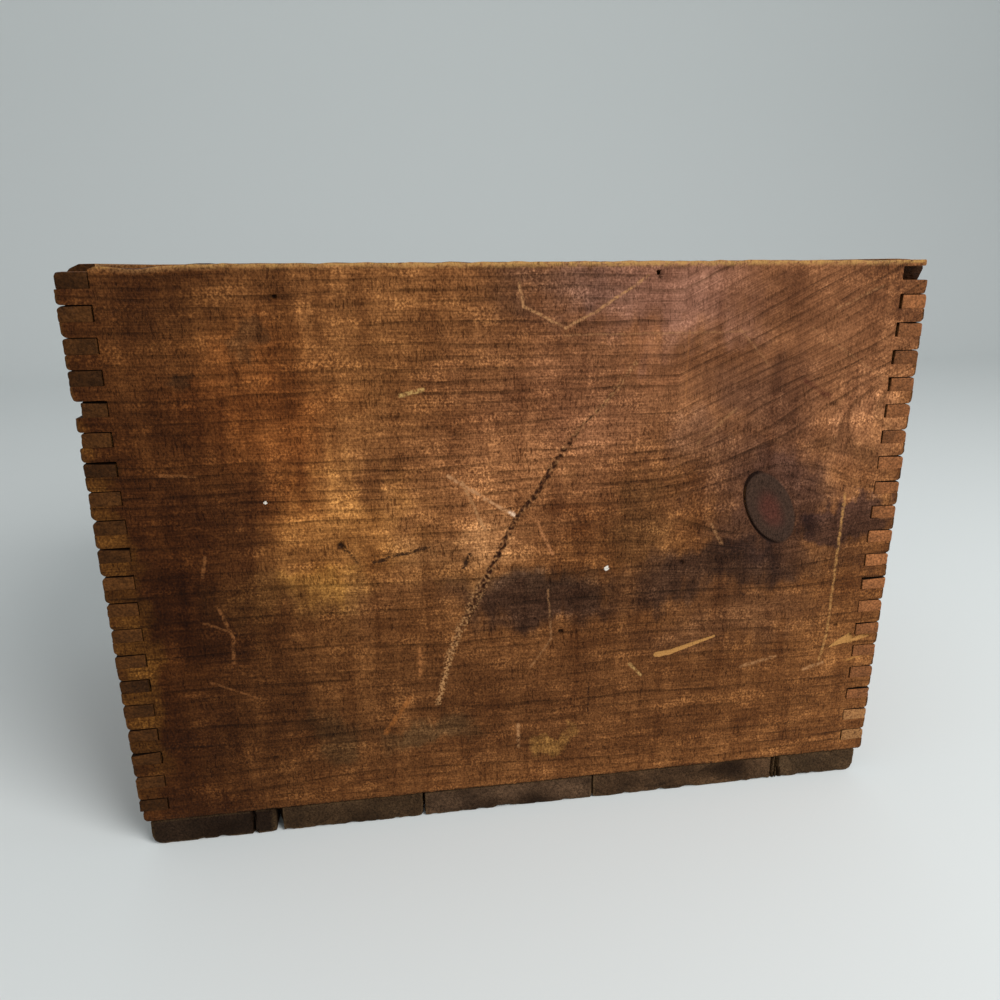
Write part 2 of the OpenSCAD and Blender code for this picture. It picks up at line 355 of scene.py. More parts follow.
def pine(name, board, seed, pith, early, late, bare, long, bend=None, rubbed=None):
    """A pine material as far as its figure, for a board in its place. pith lies across and deep in the board.
    The face is early and late wood under an old finish, and the back, on the inside of the box, is bare.
    bend turns the growth round a knot, and rubbed says how strongly the fine texture shows at a place."""
    material = bpy.data.materials.new(name)
    tree = bare_tree(material)
    into = board.inverted()
    coordinates = add(tree, "TexCoord", out=None)
    place = add(tree, "Mapping", {
        "Vector": coordinates["Object"],
        "Location": into.translation / mm,
        "Rotation": into.to_euler(),
        "Scale": (1 / mm, 1 / mm, 1 / mm),
    })
    grown = bend(tree, place) if bend else place
    wood = add(tree, "Group", {
        "Place": place, "Grown": grown, "Ring step": ring_step, "Pith across": pith[0], "Pith deep": pith[1],
        "Seed": seed,
    }, out=None, node_tree=figure)
    facing = (coordinates["Normal"], board.col[0].xyz)
    tip = add(tree, "VectorMath DOT_PRODUCT", facing, out="Value")
    tip = add(tree, "Math ABSOLUTE", (tip,))
    tip = add(tree, "MapRange", (tip, 0.55, 0.8), **eased)
    axes = add(tree, "SeparateXYZ", (place,), out=None)
    from_middle = add(tree, "Math ABSOLUTE", (axes["X"],))
    half_long = long / mm / 2
    at_end = add(tree, "MapRange", (from_middle, half_long - 1.6, half_long - 0.8))
    tip = add(tree, "Math MAXIMUM", (tip, at_end))
    colour = add(tree, "Mix", {0: wood["Rings"], 6: linear(early), 7: linear(late)}, **mixed)
    inside = add(tree, "MapRange", (axes["Z"], 1.2, 0.2), **eased)
    ratio = [b / e for b, e in zip(linear(bare), linear(early))]
    colour = add(tree, "Mix", {0: inside, 6: colour, 7: ratio}, **multiplied)
    fine = rubbed(tree, place) if rubbed else 0.9
    for label, low, high, shown, dark, bright in (
        ("Fibre", 0.25, 0.75, 1.0, (0.7, 0.68, 0.66), (1.3, 1.32, 1.34)),
        ("Patches", 0.25, 0.75, 1.0, (0.48, 0.4, 0.32), (1.5, 1.56, 1.6)),
        ("Drips", 0.25, 0.75, 1.0, (0.66, 0.6, 0.56), (1.32, 1.36, 1.38)),
        ("Speckle", 0.25, 0.75, fine, (0.37, 0.31, 0.27), (1.63, 1.69, 1.74)),
        ("Upright", 0.25, 0.75, fine, (0.58, 0.54, 0.5), (1.42, 1.46, 1.48)),
        ("Ticks", 0.0, 1.0, fine, (1, 1, 1), (0.33, 0.28, 0.24)),
        ("Flecks", 0.0, 1.0, fine, (1, 1, 1), (1.66, 1.76, 1.8)),
    ):
        share = add(tree, "MapRange", (wood[label], low, high))
        tint = add(tree, "Mix", {0: share, 6: (*dark, 1), 7: (*bright, 1)}, **mixed)
        colour = add(tree, "Mix", {0: shown, 6: colour, 7: tint}, **multiplied)
    return {"material": material, "tree": tree, "place": place, "wood": wood, "tip": tip, "colour": colour}


def dress(look, tip_tone, worn_tone, rough, relief, spread=0.0):
    """Finishes a pine material: end grain, worn arrises, dirt and painted shade in the joints, gloss, and
    relief in mm.
    spread is how far the tips of a combed board's fingers differ from each other in tone."""
    tree, wood, colour = look["tree"], look["wood"], look["colour"]
    across = add(tree, "SeparateXYZ", (look["place"],), out=1)
    finger = add(tree, "Math DIVIDE", (across, finger_height / mm))
    finger = add(tree, "Math FLOOR", (finger,))
    finger = add(tree, "TexWhiteNoise", {"W": finger}, noise_dimensions="1D")
    finger = add(tree, "MapRange", (finger, 0.0, 1.0, 1 - spread, 1 + spread))
    end_grain = add(tree, "MapRange", (wood["Rings"], 0.0, 1.0, 1.05, 0.75))
    end_grain = add(tree, "Math MULTIPLY", (end_grain, finger))
    for value, dark, bright in (
        (wood["Patches"], 0.5, 1.5), (wood["Speckle"], 0.4, 1.6), (wood["Upright"], 0.8, 1.2),
    ):
        tint = add(tree, "MapRange", (value, 0.25, 0.75, dark, bright))
        end_grain = add(tree, "Math MULTIPLY", (end_grain, tint))
    end_grain = add(tree, "Mix", {0: 1.0, 6: linear(tip_tone), 7: end_grain}, **multiplied)
    colour = add(tree, "Mix", {0: look["tip"], 6: colour, 7: end_grain}, **mixed)
    worn = add(tree, "Attribute", out="Fac", attribute_name="worn")
    rubbed = add(tree, "MapRange", (wood["Speckle"], 0.35, 0.6, 0.15, 0.85))
    worn = add(tree, "Math MULTIPLY", (worn, rubbed))
    colour = add(tree, "Mix", {0: worn, 6: colour, 7: linear(worn_tone)}, **mixed)
    # Dirt and painted shade, marked on the mesh, darken the wood nearly to black.
    dirt_and_shade = add(tree, "Attribute", out="Fac", attribute_name="dirt_and_shade")
    colour = add(tree, "Mix", {0: dirt_and_shade, 6: colour, 7: linear("#170c05")}, **mixed)
    height = wood["Fibre"]
    for label, rise in (("Rings", -0.4), ("Ticks", -0.9), ("Speckle", 1.0)):
        height = add(tree, "Math MULTIPLY_ADD", (wood[label], rise, height))
    bump = add(tree, "Bump", {"Strength": 1.0, "Distance": relief * mm, "Height": height})
    roughness = add(tree, "MapRange", (wood["Patches"], 0.3, 0.7, rough[0], rough[1]))
    shade = add(tree, "BsdfPrincipled", {
        "Base Color": colour, "Roughness": roughness, "Normal": bump, "Specular IOR Level": 0.06,
    })
    add(tree, "OutputMaterial", {"Surface": shade}, out=None)


# Stains and scratches. A stain is a patch with a ragged edge that multiplies the wood's colour, and a scratch
# is a straight, broken stroke of another tone.
stain, given = new_tree("stain", "ShaderNodeTree", {
    "Colour": "Color", "Ragged": "Vector", "Centre": "Vector", "Reach": "Vector",
    "Softness": "Float", "Tint": "Color", "Strength": "Float",
}, {"Colour": "Color"})
offset = add(stain, "VectorMath SUBTRACT", (given["Ragged"], given["Centre"]))
offset = add(stain, "VectorMath DIVIDE", (offset, given["Reach"]))
offset = add(stain, "VectorMath LENGTH", (offset,), out="Value")
inner = add(stain, "Math SUBTRACT", (1.0, given["Softness"]))
outer = add(stain, "Math ADD", (1.0, given["Softness"]))
share = add(stain, "MapRange", (offset, outer, inner), **eased, clamp=False)
share = add(stain, "Math MULTIPLY", (share, given["Strength"]))
tinted = add(stain, "Mix", {0: share, 6: given["Colour"], 7: given["Tint"]}, **multiplied)
add(stain, "NodeGroupOutput", {"Colour": tinted}, out=None)

scratch, given = new_tree("scratch", "ShaderNodeTree", {
    "Colour": "Color", "Shaken": "Vector", "Broken": "Float", "From": "Vector", "To": "Vector",
    "Width": "Float", "Tone": "Color", "Strength": "Float",
}, {"Colour": "Color"})
reach = add(scratch, "VectorMath SUBTRACT", (given["To"], given["From"]))
offset = add(scratch, "VectorMath SUBTRACT", (given["Shaken"], given["From"]))
share = add(scratch, "VectorMath DOT_PRODUCT", (offset, reach), out="Value")
length = add(scratch, "VectorMath DOT_PRODUCT", (reach, reach), out="Value")
share = add(scratch, "Math DIVIDE", (share, length))
share = add(scratch, "Math MAXIMUM", (share, 0.0))
share = add(scratch, "Math MINIMUM", (share, 1.0))
nearest = add(scratch, "VectorMath SCALE", {0: reach, "Scale": share})
offset = add(scratch, "VectorMath SUBTRACT", (offset, nearest))
offset = add(scratch, "VectorMath LENGTH", (offset,), out="Value")
half_width = add(scratch, "Math MULTIPLY", (given["Width"], 0.5))
core = add(scratch, "Math MULTIPLY", (given["Width"], 0.1))
cover = add(scratch, "MapRange", (offset, half_width, core), **eased, clamp=False)
cover = add(scratch, "Math MULTIPLY", (cover, given["Broken"]))
cover = add(scratch, "Math MULTIPLY", (cover, given["Strength"]))
marked = add(scratch, "Mix", {0: cover, 6: given["Colour"], 7: given["Tone"]}, **mixed)
add(scratch, "NodeGroupOutput", {"Colour": marked}, out=None)


def soil(look, base_tone, stains):
    """Stains a board. Each stain: its middle, half its width and height, its softness, tone and strength."""
    for middle, wide, tall, soft, tone, strength in stains:
        tint = [t / b for t, b in zip(linear(tone), linear(base_tone))]
        look["colour"] = add(look["tree"], "Group", {
            "Colour": look["colour"], "Ragged": look["wood"]["Ragged"], "Centre": middle,
            "Reach": (wide, tall, 1e6), "Softness": soft, "Tint": tint, "Strength": strength,
        }, node_tree=stain)


def score(look, scratches, back=2.0):
    """Scratches a board. Each scratch: the places that it runs through, its width, tone and strength.
    back is how far in front of the board's back the scratches begin to show."""
    tree = look["tree"]
    flat = add(tree, "VectorMath MULTIPLY", (look["place"], (1.0, 1.0, 0.0)))
    shake = add(tree, "TexNoise", {"Vector": flat, "Scale": 0.3, "Detail": 3.0}, out="Color")
    shake = add(tree, "VectorMath SUBTRACT", (shake, (0.5, 0.5, 0.5)))
    shake = add(tree, "VectorMath MULTIPLY", (shake, (1.6, 1.6, 0.0)))
    shaken = add(tree, "VectorMath ADD", (flat, shake))
    broken = {"Vector": look["place"], "Scale": 0.5, "Detail": 4.0, "Roughness": 0.75}
    broken = add(tree, "TexNoise", broken)
    broken = add(tree, "MapRange", (broken, 0.36, 0.6), **eased)
    through = add(tree, "SeparateXYZ", (look["place"],), out=2)
    outside = add(tree, "MapRange", (through, back, back + 3.0))
    broken = add(tree, "Math MULTIPLY", (broken, outside))
    for spots, width, tone, strength in scratches:
        for start, stop in zip(spots, spots[1:]):
            look["colour"] = add(tree, "Group", {
                "Colour": look["colour"], "Shaken": shaken, "Broken": broken, "From": start,
                "To": stop, "Width": width, "Tone": linear(tone), "Strength": strength,
            }, node_tree=scratch)


def age(look, base_tone, long, wide, seed):
    """Gives a plainer board, long and wide in millimetres, its share of stains and scratches."""
    draw = random.Random(seed)
    stains = []
    for tone in ("#3c2110", "#4a2c16", "#8e5d34", "#96683c", "#412a1c", "#54341c", "#875530", "#3a2416"):
        middle = Vector((draw.uniform(-0.45, 0.45) * long, draw.uniform(0.05, 0.95) * wide, 0))
        reach = draw.uniform(14, 46), draw.uniform(8, 24)
        stains.append((middle, *reach, 0.45, tone, draw.uniform(0.4, 0.8)))
    soil(look, base_tone, stains)
    scratches = []
    for tone in ("#a97c50", "#a97c50", "#9c6a3c", "#2c170b", "#a97c50", "#9c6a3c"):
        start = Vector((draw.uniform(-0.45, 0.45) * long, draw.uniform(0.1, 0.9) * wide, 0))
        reach = Vector((draw.uniform(8, 40), 0, 0)) @ Matrix.Rotation(draw.uniform(0, math.pi), 3, "Z")
        scratches.append(((start, start + reach), draw.uniform(1.0, 2.2), tone, draw.uniform(0.3, 0.6)))
    score(look, scratches)


# Wear. Every board has lost a little wood along its arrises, and the combed fingers are each blunted
# in their own way. Worn arrises, and the dirt and painted shade in the joints, are kept on the mesh for the
# wood's colour.
@contextlib.contextmanager
def reshape(mesh):
    """A mesh opened for work on its points, which keeps what is done to it."""
    form = bmesh.new()
    form.from_mesh(mesh)
    yield form
    form.to_mesh(mesh)
    form.free()


def refine(form, near, times=1):
    """Halves the cells of a mesh, some times over, wherever near says that a place needs them finer."""
    for turn in range(times):
        faces = [face for face in form.faces if near(face.calc_center_median())]
        edges = list({edge for face in faces for edge in face.edges})
        bmesh.ops.subdivide_edges(form, edges=edges, cuts=1, use_grid_fill=True)


def saw(node, look, cells, seed, arris, rub, chip, cutter=None):
    """A node's board, sawn from its cells. Its arrises are eased by arris, rubbed by up to rub and knocked by
    chips of up to chip, all in millimetres, and marked as worn."""
    cells = {**cells, "Material": look["material"]}
    mesh = run_tree(sawn, bpy.data.meshes.new(node + "_pine"), cells, arris * mm, cutter)
    sharp = math.radians(20)
    soft_size = 8
    chip_size = 6
    far = Vector((seed * 37.3, seed * 11.7, 0))
    moves = []
    with reshape(mesh) as form:
        form.normal_update()
        worn = form.verts.layers.float.new("worn")
        for point in form.verts:
            if max(edge.calc_face_angle(0) for edge in point.link_edges) > sharp:
                spot = point.co / mm + far
                soft = 0.5 + 0.5 * noise.noise(spot / soft_size)
                knock = max(0, noise.noise(spot / chip_size + far) - 0.25) / 0.75
                moves.append((point, point.normal * -(rub * soft + chip * knock) * mm))
                point[worn] = 0.35 + 0.65 * soft
        for point, move in moves:
            point.co += move
    return mesh


def round_off(first, second, turn):
    """Where a point near a corner goes when the corner is rounded. Both distances are measured in from its
    sides, and turn is the radius."""
    reach = math.hypot(turn - first, turn - second)
    if first >= turn or second >= turn or reach <= turn:
        return first, second
    return turn - (turn - first) * turn / reach, turn - (turn - second) * turn / reach


def blunt(mesh, length, parity, seed, losses, fresh=(), shrunk=None):
    """Blunts the fingers of a combed wall, each in its own way, and marks the dirt and painted shade in the
    joints of the comb.
    parity is 0 where a finger is lowest and 1 where a notch is. By end and level, losses gives some fingers
    their own loss of wood, fresh names those with clean tips, and shrunk says how far some have drawn away
    from the roots of the notches that they fill."""
    draw = random.Random(seed)
    shrunk = shrunk or {}
    levels = 42
    top_level = 40
    tip_reach = 4 * mm
    skin_reach = 5 * mm
    tip_turn = 0.7 * mm
    chip_size = 2.4
    fingers = {}
    for end in (-1, 1):
        for level in range(levels):
            loss = losses.get((end, level), draw.uniform(0.0, 0.3)) * mm
            turns = draw.uniform(1.8, 3.2) * mm, draw.uniform(0.4, 1.3) * mm
            gap, slant = draw.random() ** 2 * mm, draw.uniform(-1, 1)
            away = shrunk.get((end, level), -draw.uniform(0.1, 0.75)) * mm
            fingers[end, level] = loss, *turns, gap, slant, away
    with reshape(mesh) as form:
        refine(form, lambda at: length / 2 - abs(at.x) < notch_length)
        refine(form, lambda at: length / 2 - abs(at.x) < tip_reach)
        form.normal_update()
        worn = form.verts.layers.float["worn"]
        dirt_and_shade = form.verts.layers.float.new("dirt_and_shade")
        for point in form.verts:
            along, across, through = point.co
            end = 1 if along > 0 else -1
            inset = length / 2 - abs(along)
            if inset > notch_length + 1.5 * mm:
                continue
            level = parity + 2 * round((across / finger_height - 0.5 - parity) / 2)
            low = level * finger_height
            tall = min(finger_height, wall_tall - low)
            side = point.normal.y if parity else -point.normal.y
            side = side if side > 0 else -0.6 * side
            root = abs(point.normal.x) if inset > notch_length - 0.5 * mm else 0
            # The sides of the fingers and the roots of the notches, inside the joints, take dirt and painted
            # shade.
            if across < top_level * finger_height - 0.4 * mm:
                point[dirt_and_shade] = min(1, max(0, (max(side, root) - 0.5) / 0.3))
            clean = (end, level) in fresh and inset < 2 * mm and not point[dirt_and_shade]
            point[worn] = 0.9 if clean else 0
            if inset > notch_length - 0.1 * mm:
                continue
            loss, wide_turn, small_turn, gap, slant, away = fingers[end, level]
            wide_turn = min(wide_turn, tall / 2)
            small_turn = small_turn if tall == finger_height else tall / 2
            near_tip = max(0, 1 - inset / tip_reach)
            knock = max(0, noise.noise(point.co / mm / chip_size + Vector((0, 0, 9 * seed))))
            knock *= 0.5 * mm * near_tip
            up = across - low
            if parity:
                up *= 1 - gap * (1 + slant * (2 * through / wall_thick - 1)) * near_tip / tall
                if through < 0.4 * mm and inset < wall_thick:
                    through += away if away < 0 else away * (0.5 + 0.9 * up / tall)
            down = tall - up
            skin = wall_thick - through
            if parity:
                skin, down_new = round_off(skin, down, wide_turn)
                skin, up_new = round_off(skin, up, small_turn)
                skin += (loss * min(1, 1.4 - inset / notch_length) + knock) * max(0, 1 - skin / skin_reach)
                up_new -= 0.3 * mm * max(0, 1 - up / mm)
            else:
                inset, up_new = round_off(inset, up, wide_turn)
                inset, down_new = round_off(inset, down, small_turn)
                inset += loss * max(0, 1 - inset / skin_reach) + knock
            inset, skin = round_off(inset, skin, tip_turn)
            across = low + up_new if up < down else low + tall - down_new
            point.co = end * (length / 2 - inset), across, wall_thick - skin


def path_near(spot, path):
    """The nearest place on a path: how far it is from a spot, half the path's width and its depth there, and
    its share of the path. Each point of the path is a place, half a width, and a depth."""
    nearest = math.inf, 1, 0, 0
    for number, (start, stop) in enumerate(zip(path, path[1:])):
        reach = stop[0] - start[0]
        part = min(1, max(0, (spot - start[0]).dot(reach) / reach.dot(reach)))
        distance = (spot - start[0] - reach * part).length
        if distance < nearest[0]:
            half = start[1] + (stop[1] - start[1]) * part
            deep = start[2] + (stop[2] - start[2]) * part
            nearest = distance, half, deep, (number + part) / (len(path) - 1)
    return nearest


# Front board. A single wide pine board, combed at both ends, with a knot near its right end. It carries the
# marks of long use: stains, drips, scratches, a long gouge, and a finger lost at its upper left corner.
finger_height = 6.35 * mm
notch_length = 13.5 * mm
wall_thick = front_high.y - front_low.y
wall_tall = front_high.z - front_low.z
box_long = front_high.x - front_low.x
wall_cells = {
    "Width": wall_tall, "Thickness": wall_thick, "Column": 2.7 * mm, "Row": finger_height / 2,
    "Edge strip": 1.5 * mm, "Finger height": finger_height, "Notch length": notch_length,
}
front_place = lay((0, front_high.y, front_low.z), (1, 0, 0), (0, 0, 1))


def on_face(from_left, down):
    """A place on the front board's face, measured from its upper left corner, in the board's millimetres."""
    return Vector((from_left - box_long / mm / 2, wall_tall / mm - down, 0))


def on_board(rows):
    """Marks on the front board's face. Each row starts with how far it lies from the left and the top."""
    return [(on_face(left, down), *rest) for left, down, *rest in rows]


knot_middle = on_face(307.5, 115.2)
knot_long = 20
knot_short = 11
knot_lean = math.radians(-60)


def round_knot(tree, place):
    """The front board's growth: its rings part round the knot, and climb towards the upper right corner."""
    along, across = add(tree, "SeparateXYZ", (place,), out=None)[:2]
    offset = add(tree, "VectorMath SUBTRACT", (place, knot_middle))
    spread = add(tree, "VectorMath MULTIPLY", (offset, (1 / 40, 1 / 34, 0.0)))
    spread = add(tree, "VectorMath DOT_PRODUCT", (spread, spread), out="Value")
    spread = add(tree, "Math MULTIPLY", (spread, -1.0))
    spread = add(tree, "Math EXPONENT", (spread,))
    above = add(tree, "SeparateXYZ", (offset,), out=1)
    side = add(tree, "MapRange", (above, -14.0, 14.0, 13.0, -13.0), **eased)
    push = add(tree, "Math MULTIPLY", (spread, side))
    right = add(tree, "Math SUBTRACT", (along, 70.0))
    right = add(tree, "Math MAXIMUM", (right, 0.0))
    upper = add(tree, "MapRange", (across, 150.0, 205.0, 0.0, -0.5), **eased)
    climb = add(tree, "Math MULTIPLY", (right, upper))
    push = add(tree, "Math ADD", (push, climb))
    push = add(tree, "CombineXYZ", {"Y": push})
    return add(tree, "VectorMath ADD", (place, push))


def rubbed_front(tree, place):
    """How strongly the front's fine texture shows: most in the scuffed middle, least at the upper right."""
    shown = 0.9
    for left, down, wide, tall, change in ((205, 115, 75, 55, 0.1), (287, 30, 62, 42, -0.45)):
        offset = add(tree, "VectorMath SUBTRACT", (place, on_face(left, down)))
        offset = add(tree, "VectorMath MULTIPLY", (offset, (1 / wide, 1 / tall, 0.0)))
        offset = add(tree, "VectorMath LENGTH", (offset,), out="Value")
        share = add(tree, "MapRange", (offset, 1.4, 0.5, 0.0, change), **eased)
        shown = add(tree, "Math ADD", (shown, share))
    return shown


front_tone = "#754926"
wall_bare = "#7d5a36"
front_look = pine(
    "aged yellow pine, front wall", front_place, seed=1.0, pith=(-150, -70), early=front_tone, late="#4f2f15",
    bare=wall_bare, long=box_long, bend=round_knot, rubbed=rubbed_front)

# The stains, painted shade and painted sheen on the face: from the left, from the top, half the width and
# height, softness, tone, strength.
soil(front_look, front_tone, on_board((
    # Dark over the left end: dirt, and painted shade where less light falls on the face.
    (-5, 140, 75, 190, 0.6, "#3a1b06", 0.9),
    (60, 205, 85, 55, 0.5, "#4c2b10", 0.4),
    (190, 210, 120, 42, 0.6, "#56331a", 0.6),
    # Lighter and greyer at the upper right: polished finish, and a painted sheen.
    (290, 35, 110, 60, 0.6, "#7c5038", 0.5),
    (354, 90, 18, 32, 0.4, "#98643b", 0.6),
    (182, 84, 46, 42, 0.6, "#8c5a38", 0.55),
    (101, 115, 27, 29, 0.4, "#a06a38", 1.0),
    (75, 62, 30, 32, 0.6, "#80461d", 0.6),
    (84, 139, 10, 13, 0.4, "#94602f", 0.7),
    (102, 97, 26, 14, 0.6, "#8c5a30", 0.5),
    (120, 153, 28, 9, 0.5, "#5c381e", 0.5),
    (240, 13, 48, 18, 0.5, "#8f6246", 0.6),
    (152, 128, 26, 12, 0.5, "#9a693e", 0.6),
    (75, 146, 30, 14, 0.5, "#855a30", 0.7),
    (185, 147, 40, 6, 0.6, "#8c6036", 0.4),
    (54, 107, 27, 18, 0.25, "#4a240d", 0.25),
    (34, 156, 27, 24, 0.4, "#3a1a08", 0.55),
    (196, 156, 40, 16, 0.4, "#40291c", 0.95),
    (287, 145, 47, 13, 0.45, "#3e281c", 0.9),
    (290, 172, 40, 12, 0.6, "#5a3923", 0.7),
    (247, 122, 18, 17, 0.5, "#4e341c", 0.45),
    (350, 121, 26, 13, 0.2, "#442a1d", 0.95),
    (354, 139, 18, 10, 0.6, "#56351f", 0.7),
    (308, 110, 30, 32, 0.4, "#442b1f", 0.85),
    (203, 12, 30, 11, 0.5, "#553820", 0.45),
    (235, 37, 11, 4, 0.5, "#8f5a30", 0.5),
    (253, 47, 11, 5, 0.5, "#925c32", 0.5),
    (203, 235, 9, 8, 0.4, "#a8793f", 0.85),
    (98, 214, 15, 10, 0.5, "#504028", 0.45),
    (141, 220, 18, 9, 0.5, "#56452c", 0.5),
    (2, 140, 11, 95, 0.3, "#a5783a", 0.5),
    (52, 20, 14, 16, 0.6, "#5c3618", 0.5),
    (48, 48, 4, 7, 0.5, "#352a1e", 0.6),
    (68, 34, 4, 5, 0.5, "#403020", 0.5),
    (85, 34, 9, 22, 0.4, "#4e2c12", 0.4),
    (298, 58, 22, 18, 0.5, "#503320", 0.5),
    (268, 88, 14, 12, 0.6, "#865c3c", 0.5),
)))

# The scratches and dark strokes on it: the places that each runs through, its width, tone and strength.
pale = "#a9794f"
orange = "#9a6236"
dirt = "#22110a"
score(front_look, [([on_face(*spot) for spot in spots], *rest) for spots, *rest in (
    (((-4, 0.2), (379, 0.2)), 4.6, "#ae8549", 0.9),
    (((130, 0.2), (379, 0.2)), 6.0, "#b0854b", 0.9),
    # A painted shadow line along the bottom edge of the face.
    (((-4, 256.7), (379, 256.7)), 2.2, "#1f1209", 0.8),
    (((359, 201.7), (373.5, 197.8)), 2.2, "#a9763d", 0.8),
    (((184, 9), (186, 18.5), (204.5, 28), (217.5, 21.5), (241, 6.5)), 2.0, pale, 1.0),
    (((346.2, 110), (345.6, 186), (343, 200)), 2.2, "#b3824b", 0.8),
    (((152, 92), (168, 103), (183, 113)), 2.6, "#b5835a", 1.1),
    (((158, 95), (168, 118)), 2.4, pale, 1.0),
    (((192, 115), (200, 132)), 2.4, "#a86e44", 1.0),
    (((180.2, 110.4), (181.6, 112)), 3.2, "#e0bda0", 1.0),
    (((47, 148), (52, 163), (51, 176)), 2.4, orange, 0.5),
    (((40, 155), (50, 160)), 1.8, orange, 0.4),
    (((136, 176), (136, 190)), 2.8, orange, 1.0),
    (((130.5, 202), (118, 220)), 4.0, "#9c5e2c", 0.7),
    (((132, 55), (142, 53)), 2.6, "#b08a52", 1.4),
    (((183.7, 222), (183.7, 235)), 2.6, pale, 1.0),
    (((204, 31), (289, 31)), 1.4, pale, 0.35),
    (((261, 30), (261, 62)), 1.6, orange, 0.4),
    (((319, 54), (332, 62)), 4.0, "#4a2216", 0.7),
    (((117, 131), (130, 127.5), (142, 125)), 2.6, "#341f10", 1.4),
    (((103, 122), (110, 130)), 3.6, "#341f10", 0.9),
    (((158, 136), (161, 130)), 3.2, "#341f10", 1.4),
    (((157, 123), (146, 138)), 1.6, "#4a2c14", 0.9),
    (((219.5, 202), (219.5, 219)), 1.4, dirt, 1.0),
    (((198, 150), (200, 176), (190, 190)), 1.6, pale, 0.45),
    (((296, 155), (295, 158), (298, 160)), 2.0, dirt, 0.7),
    (((85, 34), (84, 62)), 1.8, "#3a1e0c", 0.4),
    (((300, 46), (285, 30)), 1.6, pale, 0.35),
    (((330, 22), (352, 12)), 1.8, pale, 0.45),
    (((320, 30), (360, 55)), 1.6, pale, 0.3),
    (((100, 52), (130, 45)), 1.4, "#3a1e0c", 0.5),
    (((60, 195), (40, 185)), 1.6, orange, 0.4),
    (((278, 122), (284, 132)), 2.6, pale, 0.5),
    (((268, 82), (286, 66)), 2.2, pale, 0.4),
    (((240, 193), (246, 200)), 2.6, "#b28a55", 1.0),
    (((300, 200), (318, 196)), 2.8, pale, 0.8),
    (((335, 205), (345, 202)), 3.0, pale, 0.9),
    (((42, 133), (44, 124)), 2.2, orange, 0.5),
    (((30, 86), (44, 87)), 2.0, orange, 0.5),
)], back=8.0)

# The knot is grey-brown with a red heart and fine rings of its own.
tree, wood, colour = front_look["tree"], front_look["wood"], front_look["colour"]
turned = add(tree, "VectorMath SUBTRACT", (front_look["place"], knot_middle))
turned = add(tree, "VectorRotate", {"Vector": turned, "Angle": -knot_lean}, rotation_type="Z_AXIS")
knot_scale = (1 / knot_long, 1 / knot_short, 0.0)
turned = add(tree, "VectorMath MULTIPLY", (turned, knot_scale))
from_heart = add(tree, "VectorMath LENGTH", (turned,), out="Value")
shaken = add(tree, "Math MULTIPLY_ADD", (wood["Patches"], 0.5, from_heart))
knot_rings = add(tree, "Math MULTIPLY", (shaken, 30.0))
knot_rings = add(tree, "Math SINE", (knot_rings,))
knot_rings = add(tree, "MapRange", (knot_rings, -1.0, 1.0, 0.92, 1.06))
speckle = add(tree, "MapRange", (wood["Speckle"], 0.25, 0.75, 0.5, 1.5))
heart = add(tree, "MapRange", (shaken, 0.95, 0.45), **eased)
knot_colour = {0: heart, 6: linear("#3c2a20"), 7: linear("#4c2a20")}
knot_colour = add(tree, "Mix", knot_colour, **mixed)
for tint in (knot_rings, speckle):
    knot_colour = add(tree, "Mix", {0: 1.0, 6: knot_colour, 7: tint}, **multiplied)
in_knot = add(tree, "MapRange", (from_heart, 1.04, 0.94), **eased)
colour = add(tree, "Mix", {0: in_knot, 6: colour, 7: knot_colour}, **mixed)

# What is cut into the face is kept on the mesh: scuffed and torn wood is pale, and pits are dark.
for mark, tone, low, high in (
    ("scuff", "#a87a4e", 0.15, 0.65), ("groove", "#402312", 0.08, 0.7), ("torn", "#ad7c45", 0.2, 0.7),
    ("pit", "#1c0e08", 0.1, 0.9), ("speck", "#d8d0c4", 0.3, 0.6),
):
    cover = add(tree, "Attribute", out="Fac", attribute_name=mark)
    uneven = add(tree, "MapRange", (wood["Speckle"], 0.3, 0.7, 0.5, 1.3))
    cover = add(tree, "Math MULTIPLY", (cover, uneven))
    cover = add(tree, "MapRange", (cover, low, high), **eased)
    colour = add(tree, "Mix", {0: cover, 6: colour, 7: linear(tone)}, **mixed)
front_look["colour"] = colour
worn_pine = "#a8794a"
satin = (0.5, 0.75)
dress(front_look, "#4d3015", worn_pine, satin, relief=0.3, spread=0.2)
front_mesh = saw("front_board", front_look, {
    **wall_cells, "Column": 3.4 * mm, "Length": box_long, "First notch": 1.0,
    "Lost low": (-box_long, 40 * finger_height, 0), "Lost high": (-box_long / 2 + notch_length, wall_tall, 0),
}, 1, arris=0.3, rub=0.2, chip=0.5)
blunt(front_mesh, box_long, 0, 1, {(1, 40): 2.6, (1, 38): 1.0, (-1, 0): 1.2})

# What is cut into the face. The gouge, the splinter and the pale cut are paths: half the width, and depth.
gouge = on_board((
    (237, 44, 0.4, 0.15), (221, 64, 0.7, 0.3), (214, 70, 0.6, 0.2), (207, 79, 1.6, 0.9),
    (200.6, 88, 1.5, 0.8), (191.5, 103, 1.6, 0.9), (183, 113, 1.2, 0.6), (176, 127, 1.9, 1.0),
    (169.7, 140, 1.9, 1.0), (163.4, 152, 1.7, 0.9), (155.8, 167, 1.3, 0.6), (150.7, 179.5, 1.0, 0.4),
    (148, 191, 0.6, 0.2), (144, 206, 0.3, 0.1),
))
splinter = on_board((
    (347, 193.7, 0.3, 0.0), (353, 190.8, 1.8, 0.5), (359, 188.8, 3.2, 1.0), (364, 188.6, 2.4, 1.0),
    (370, 188.2, 0.8, 0.8),
))
cut = on_board((
    (252, 189.6, 1.9, 0.3), (261, 188.6, 1.6, 0.4), (270, 185.8, 1.3, 0.3), (284, 181.6, 0.7, 0.1),
))

